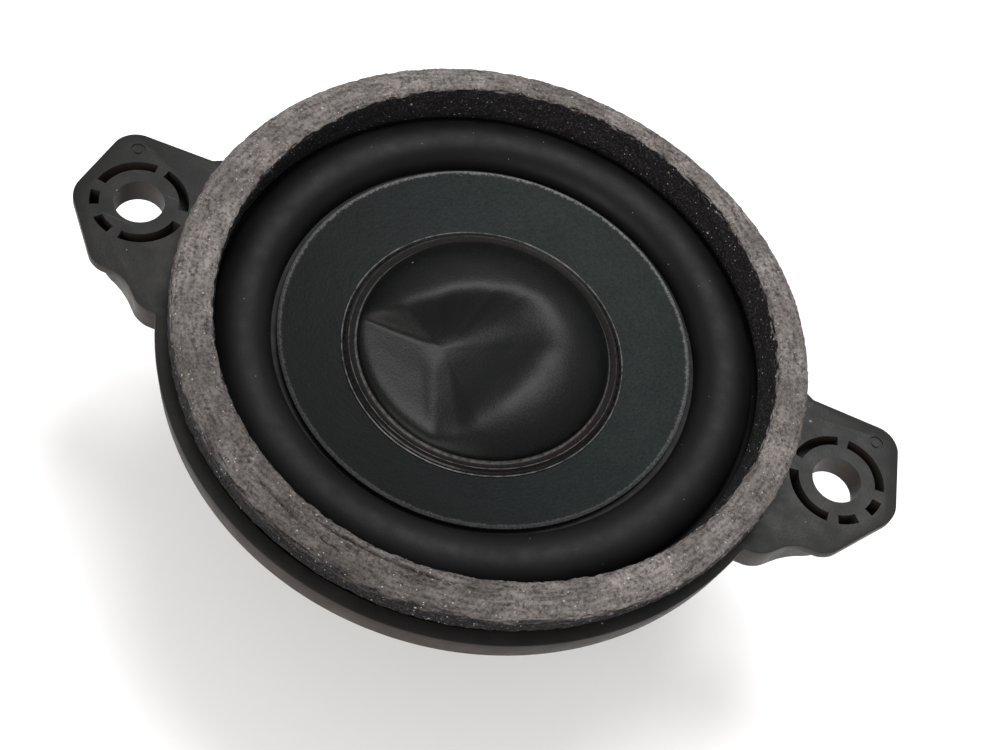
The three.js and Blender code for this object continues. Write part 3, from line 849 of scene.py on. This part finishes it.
def cone_top(radius):
    return CONE_Z - (CONE_R - radius) * CONE_SLOPE


def cone():
    """A shallow paper cone with a flattened raw edge."""
    top = [(NECK_R, cone_top(NECK_R)), (CONE_R - 0.9, cone_top(CONE_R - 0.9)),
           (CONE_R - 0.6, CONE_Z - 0.1), (CONE_R - 0.25, CONE_Z), (CONE_R, CONE_Z - 0.16)]
    under = [(CONE_R, CONE_Z - 0.42), (CONE_R - 1.2, cone_top(CONE_R - 1.2) - 0.5),
             (NECK_R, cone_top(NECK_R) - 0.5)]
    bm = turned(top + under, 240)
    return piece("paper_cone", bm, MOVING, cone_paper(), ["cone"], smooth=40)


def round_dome(place):
    """Height above its foot that the dome had before it was pushed in: steep at the edge, flatter on top."""
    return CAP_HEIGHT * max(0.0, 1 - (place.length / CAP_FOLD) ** 2.6) ** 0.62


def dent_reach(angle):
    """Distance from the dent's deepest point to the ridge, in a direction, on a smooth closed curve."""
    spokes = sorted((math.atan2(y - DENT_POINT.y, x - DENT_POINT.x),
                     math.hypot(x - DENT_POINT.x, y - DENT_POINT.y)) for x, y in DENT_EDGE)
    count = len(spokes)
    for i in range(count):
        a, b = spokes[i - 1], spokes[i]
        turn = b[0] - a[0] + (math.tau if i == 0 else 0)
        t = ((angle - a[0]) % math.tau) / turn
        if t <= 1:
            return curve_between(spokes[i - 2][1], a[1], b[1], spokes[(i + 1) % count][1], t)
    return spokes[0][1]


def dome_height(x, y):
    """Height of the dented dome above its foot, at a point of the cap."""
    place = Vector((x, y))
    whole = round_dome(place)
    offset = place - DENT_POINT
    angle = math.atan2(offset.y, offset.x)
    reach = dent_reach(angle)
    ridge = round_dome(DENT_POINT + Vector((math.cos(angle), math.sin(angle))) * reach)
    share = offset.length / reach
    dent = DENT_FLOOR + (ridge - DENT_FLOOR) * share ** 1.5
    # A flat shelf on the low side, which drops to a valley along its inner edge.
    past_edge = (x - SHELF_EDGE[0]) * 0.91 + (y - SHELF_EDGE[1]) * 0.41
    below_fold = smooth_step((-1.6 - y - 0.06 * (x + 4.4)) / FOLD_WIDTH)
    on_shelf = below_fold * smooth_step(-past_edge / 2.6)
    shelf = SHELF_HEIGHT - 0.05 * (x + 9) - 0.1 * (y + 6)
    dent += (shelf - dent) * on_shelf
    softness = 0.25 + 0.1 * min(3.0, whole)
    return whole - softness * math.log1p(math.exp(min(40.0, (whole - dent) / softness)))


def dust_cap():
    """A felted paper dome pushed in on one side, with a flat collar round it."""
    foot = cone_top(CAP_FOLD) + 0.35
    rings = 90
    section = [(CAP_FOLD * i / rings, foot) for i in range(rings + 1)]
    collar = [(CAP_FOLD + 0.07, foot + 0.1), (CAP_FOLD + 0.16, foot + 0.02), (CAP_FOLD + 0.3, foot),
              (CAP_RIM - 0.2, foot + 0.26), (CAP_RIM - 0.05, foot + 0.36), (CAP_RIM, foot + 0.28)]
    bm = turned(section + collar, 240, closed=False)
    for vert in bm.verts:
        radius = math.hypot(vert.co.x, vert.co.y)
        if radius <= CAP_FOLD + 1e-4:
            fade = smooth_step((CAP_FOLD - radius) / 0.5)
            dome = max(0.0, dome_height(vert.co.x, vert.co.y))
            vert.co.z = foot + 0.1 * (1 - fade) + dome * max(fade, 0.05)
            vert.co.z += 0.05 * fade * noise.noise(vert.co * 0.35)
    bmesh.ops.recalc_face_normals(bm, faces=bm.faces)
    if sum(face.normal.z for face in bm.faces) < 0:
        bmesh.ops.reverse_faces(bm, faces=bm.faces)
    bmesh.ops.solidify(bm, geom=bm.faces[:] + bm.edges[:] + bm.verts[:], thickness=-0.3)
    bmesh.ops.recalc_face_normals(bm, faces=bm.faces)
    return piece("dust_cap_dome", bm, MOVING, cap_paper(), ["dust_cap"], smooth=50)


def bead(name, section, node, material, steps=200):
    """A hand-laid ring of glue, slightly uneven round its length."""
    bm = turned(section, steps)
    for vert in bm.verts:
        shift = noise.noise(vert.co * 0.45) * GLUE_WOBBLE
        radius = math.hypot(vert.co.x, vert.co.y)
        vert.co.x *= 1 + shift / radius
        vert.co.y *= 1 + shift / radius
    return piece(name, bm, MOVING, material, [node], smooth=60)


def glue_beads():
    black = glue_finish("black_glue", (0.004, 0.004, 0.0045), highlight_radius=17.6)
    amber = glue_finish("amber_glue", (0.05, 0.022, 0.008))
    foot = cone_top(CAP_RIM)
    bead("cap_glue_ring", [
        (CAP_RIM + 0.06, foot + 0.1), (17.62, cone_top(17.62) - 0.02), (17.7, cone_top(17.7) + 0.12),
        (17.6, cone_top(17.6) + 0.24), (17.45, cone_top(17.45) + 0.16), (17.2, foot + 0.2),
        (CAP_RIM + 0.1, foot + 0.42)], "dust_cap_glue_bead", black)
    neck = cone_top(NECK_R)
    bead("neck_glue_ring", [
        (NECK_R, neck + 0.3), (14.2, neck + 0.5), (14, neck + 0.66), (13.6, neck + 0.8), (NECK_R, neck + 1)],
        "cone_neck_glue", amber, 120)
    low = spider_high.z + 0.1
    bead("spider_glue_ring", [
        (NECK_R, low), (13.9, low), (13.8, low + 0.18), (NECK_R, low + 0.42)],
        "spider_neck_glue", amber, 120)


# ---- voice coil ----

FORMER_BORE = 12.6
WIRE = 0.24                     # thickness of the coil's wire


def voice_coil():
    former = tube(FORMER_BORE, former_high.x, former_low.z, former_high.z, 160)
    piece("coil_former", former, MOVING, former_foil(), ["voice_coil_former"])

    low, high = corners("voice_coil_winding")
    turns = int((high.z - low.z) / WIRE)
    ridges = [(high.x - (0.09 if i % 2 else 0.0), low.z + WIRE * i / 2) for i in range(2 * turns + 1)]
    section = [(NECK_R - 0.15, ridges[0][1])] + ridges + [(NECK_R - 0.15, ridges[-1][1])]
    winding = turned(section, 120)
    piece("coil_winding", winding, MOVING, copper_wire(), ["voice_coil_winding"], 60)

    low, high = corners("coil_collar")
    collar = tube(NECK_R - 0.25, high.x, low.z, high.z, 160)
    piece("collar_wrap", soften(collar, 0.08, 2), MOVING, kraft_paper(), ["coil_collar"])


# ---- motor ----

def motor():
    steel = plated_steel()
    plate = tube(14, 22, plate_low.z, plate_high.z, 180)
    holes = [post(SCREW_SHANK + 0.2, x, y, plate_low.z - 1, plate_high.z + 1, 32) for x, y in screw_places()]
    plate = combine(soften(plate, 0.35), [joined(holes)], "DIFFERENCE")
    piece("front_plate", plate, FIXED, steel, ["top_plate"])

    ring = tube(16, 25, magnet_low.z, magnet_high.z, 200)
    piece("magnet_ring", soften(ring, 0.7, 3), FIXED, ferrite(), ["magnet"])

    dimple = [(0, 1.1), (3.2, 1.1), (4.4, 0)]
    body = [(yoke_high.x, 0), (yoke_high.x, 4), (12.2, 4), (12.2, yoke_high.z), (0, yoke_high.z)]
    yoke = turned(dimple + body, 200, closed=False)
    piece("yoke_and_pole", soften(yoke, 0.45, 3, 35), FIXED, steel, ["yoke"])

    for number, (x, y) in enumerate(screw_places(), 1):
        node = f"basket_screw_{number}"
        low, high = corners(node)
        shank = post(SCREW_SHANK, x, y, low.z, high.z - 1.2, 24)
        head = soften(post(SCREW_HEAD, x, y, high.z - 1.3, high.z, 40), 0.42, 4)
        recess = [block(x - 1.5, x + 1.5, y - 0.3, y + 0.3, high.z - 0.8, high.z + 1),
                  block(x - 0.3, x + 0.3, y - 1.5, y + 1.5, high.z - 0.8, high.z + 1)]
        screw = combine(head, [shank], "UNION")
        screw = combine(screw, recess, "DIFFERENCE")
        piece(f"screw_{number}", screw, FIXED, steel, [node])


# ---- terminals and leads ----

LEAD_ROUTE = (
    (3, 15.7, 29.9), (3, 18.5, 30.8), (3, 23, 30.7), (3, 28, 29.9),
    (3.2, 32, 29.4), (4, 34, 28.9), (4.9, 33.9, 27.9), (5, 33.5, 26.9),
)


def on_route(points, share):
    """A point on a smooth curve through the points, at a share of its length in points."""
    place = share * (len(points) - 1)
    i = min(int(place), len(points) - 2)
    t = place - i
    before, a = Vector(points[max(i - 1, 0)]), Vector(points[i])
    b, after = Vector(points[i + 1]), Vector(points[min(i + 2, len(points) - 1)])
    return curve_between(before, a, b, after, t)


def braided_lead(name, side, node, material):
    """Three strands twisted round the route."""
    curve = bpy.data.curves.new(name, "CURVE")
    curve.dimensions = "3D"
    curve.bevel_depth = 0.23
    curve.bevel_resolution = 2
    curve.use_fill_caps = True
    route = [(side * x, y, z) for x, y, z in LEAD_ROUTE]
    count = 90
    for strand in range(3):
        spline = curve.splines.new("POLY")
        spline.points.add(count)
        for i in range(count + 1):
            share = i / count
            centre = on_route(route, share)
            ahead = on_route(route, min(1, share + 0.01)) - on_route(route, max(0, share - 0.01))
            ahead.normalize()
            across = ahead.cross(Vector((1, 0, 0))).normalized()
            other = ahead.cross(across)
            turn = share * 11 * math.tau + strand * math.tau / 3
            point = centre + 0.22 * (across * math.cos(turn) + other * math.sin(turn))
            spline.points[i].co = (*point, 1)
    source = bpy.data.objects.new(name, curve)
    bpy.context.scene.collection.objects.link(source)
    bm = evaluated(source)
    bpy.data.objects.remove(source)
    lead = piece(name, bm, None, material, [node], smooth=80)
    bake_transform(lead)


def blob(name, centre, radius, height, body, material, node, seed):
    """A drop of solder or glue."""
    bm = bmesh.new()
    bmesh.ops.create_icosphere(bm, subdivisions=4, radius=1)
    for vert in bm.verts:
        vert.co *= 1 + 0.12 * noise.noise(vert.co * 1.6 + Vector((seed, 0, 0)))
    bmesh.ops.scale(bm, vec=(radius, radius, height), verts=bm.verts)
    bmesh.ops.translate(bm, vec=centre, verts=bm.verts)
    piece(name, bm, body, material, [node], smooth=180)


def terminals():
    tin, solder, braid = tinned_brass(), solder_finish(), tinsel_braid()
    dot_glue = glue_finish("dot_glue", (0.012, 0.012, 0.013))
    board = block(board_low.x, board_high.x, board_low.y, board_high.y, board_low.z, board_high.z)
    holes = [post(RIVET_HOLE, side * TAB_X, TAB_Y, board_low.z - 1, board_high.z + 1, 32)
             for side in (-1, 1)]
    board = combine(soften(board, 0.25, 2), [joined(holes)], "DIFFERENCE")
    piece("terminal_strip", board, FIXED, phenolic_board(), ["terminal_board"])

    for number, (name, side) in enumerate((("positive", 1), ("negative", -1))):
        low, high = corners(f"terminal_{name}")
        x = side * TAB_X
        half = 2.4 if side > 0 else 1.4
        foot = outline_plate([
            (low.x, low.y, 0.6), (high.x, low.y, 0.6), (high.x, high.y, 0), (low.x, high.y, 0)],
            high.z - TAB_THICK, high.z)
        blade = bmesh.new()
        tip = low.z
        points = [(x - half, high.z - 0.2), (x - half, tip + 0.9), (x - half + 0.8, tip),
                  (x + half - 0.8, tip), (x + half, tip + 0.9), (x + half, high.z - 0.2)]
        blade.faces.new([blade.verts.new((px, high.y, pz)) for px, pz in points])
        thickened(blade, (0, -TAB_THICK, 0))
        rivet_hole = post(RIVET_HOLE, x, TAB_Y, high.z - 3, high.z + 1, 32)
        latch = post(0.6, x, 0, -2, 2, 24)
        over = Matrix.Rotation(math.pi / 2, 3, "X")
        bmesh.ops.rotate(latch, cent=(x, 0, 0), matrix=over, verts=latch.verts)
        bmesh.ops.translate(latch, vec=(0, high.y - TAB_THICK / 2, tip + 3), verts=latch.verts)
        tab = combine(foot, [blade], "UNION")
        tab = combine(tab, [rivet_hole, latch], "DIFFERENCE")
        tab = with_modifier(
            tab, "BEVEL", width=0.09, segments=2, limit_method="ANGLE", angle_limit=math.radians(40))
        piece(f"tab_{name}", tab, FIXED, tin, [f"terminal_{name}"])

        low, high = corners(f"terminal_rivet_{name}")
        rivet = turned([
            (0, low.z), (1.5, low.z), (1.7, low.z + 0.25), (1.6, low.z + 0.5), (0.9, low.z + 0.5),
            (0.9, high.z - 0.5), (1.6, high.z - 0.5), (1.7, high.z - 0.25), (1.5, high.z), (0, high.z)],
            48, closed=False)
        bmesh.ops.translate(rivet, vec=(x, TAB_Y, 0), verts=rivet.verts)
        rivet = soften(rivet, 0.08, 2, 25)
        piece(f"rivet_{name}", rivet, FIXED, tin, [f"terminal_rivet_{name}"])

        low = corners(f"terminal_solder_{name}")[0]
        blob(f"solder_{name}", (x, TAB_Y, low.z + 0.3), 1.35, 0.6, FIXED, solder,
             f"terminal_solder_{name}", number * 7.0)
        low, high = corners(f"lead_joint_{name}")
        blob(f"joint_{name}", (low + high) / 2, 0.95, 0.9, MOVING, dot_glue,
             f"lead_joint_{name}", number * 7.0 + 3)
        braided_lead(f"lead_{name}", side, f"tinsel_lead_{name}", braid)


# ---- stage, light and camera ----

def floor():
    bm = bmesh.new()
    bmesh.ops.create_grid(bm, x_segments=1, y_segments=1, size=3)
    bmesh.ops.translate(bm, vec=(0, 0, -0.1 * MM), verts=bm.verts)
    ground = loose_object("floor", bm)
    paint = Finish("floor_paint", (0.94, 0.94, 0.94), 0.9, Specular_IOR_Level=0.0)
    ground.data.materials.append(paint.material)


def area_light(name, place, aim, size, power, color=(1, 1, 1)):
    """A square soft light at a place in metres, pointed at another."""
    lamp = bpy.data.lights.new(name, "AREA")
    lamp.shape = "SQUARE"
    lamp.size = size
    lamp.energy = power
    lamp.color = color
    holder = bpy.data.objects.new(name, lamp)
    holder.location = place
    holder.rotation_euler = (Vector(aim) - Vector(place)).to_track_quat("-Z", "Y").to_euler()
    bpy.context.scene.collection.objects.link(holder)


def studio():
    world = bpy.data.worlds.new("studio")
    world.use_nodes = True
    background = world.node_tree.nodes["Background"]
    background.inputs["Color"].default_value = (1, 1, 1, 1)
    background.inputs["Strength"].default_value = 0.62
    bpy.context.scene.world = world
    bpy.context.scene.view_settings.view_transform = "Standard"
    aim = (0, 0, RIM_Z * MM)
    area_light("key", (0.01, 0.24, 0.58), aim, 0.3, 2.9)
    area_light("front_fill", (-0.3, -0.85, 0.5), (0, -0.05, 0), 0.9, 9, (1, 0.96, 0.92))


VIEW = {"distance": 213.8, "azimuth": 1.68, "elevation": 57.3, "roll": 20.33,
        "aim": (3.1, -4.0), "lens": 63.5}


def camera():
    data = bpy.data.cameras.new("camera")
    data.lens = VIEW["lens"]
    data.sensor_width = 36
    data.clip_start = 0.01
    azimuth, elevation = math.radians(VIEW["azimuth"]), math.radians(VIEW["elevation"])
    backward = Vector((
        math.sin(azimuth) * math.cos(elevation), -math.cos(azimuth) * math.cos(elevation),
        math.sin(elevation)))
    holder = bpy.data.objects.new("camera", data)
    upright = backward.to_track_quat("Z", "Y").to_matrix().to_4x4()
    roll = Matrix.Rotation(math.radians(VIEW["roll"]), 4, "Z")
    aim = Vector((*VIEW["aim"], RIM_Z))
    holder.matrix_world = Matrix.Translation((aim + backward * VIEW["distance"]) * MM) @ upright @ roll
    bpy.context.scene.collection.objects.link(holder)
    bpy.context.scene.camera = holder


camera()
studio()
floor()
basket()
foam_gasket()
surround()
spider()
cone()
dust_cap()
glue_beads()
voice_coil()
motor()
terminals()
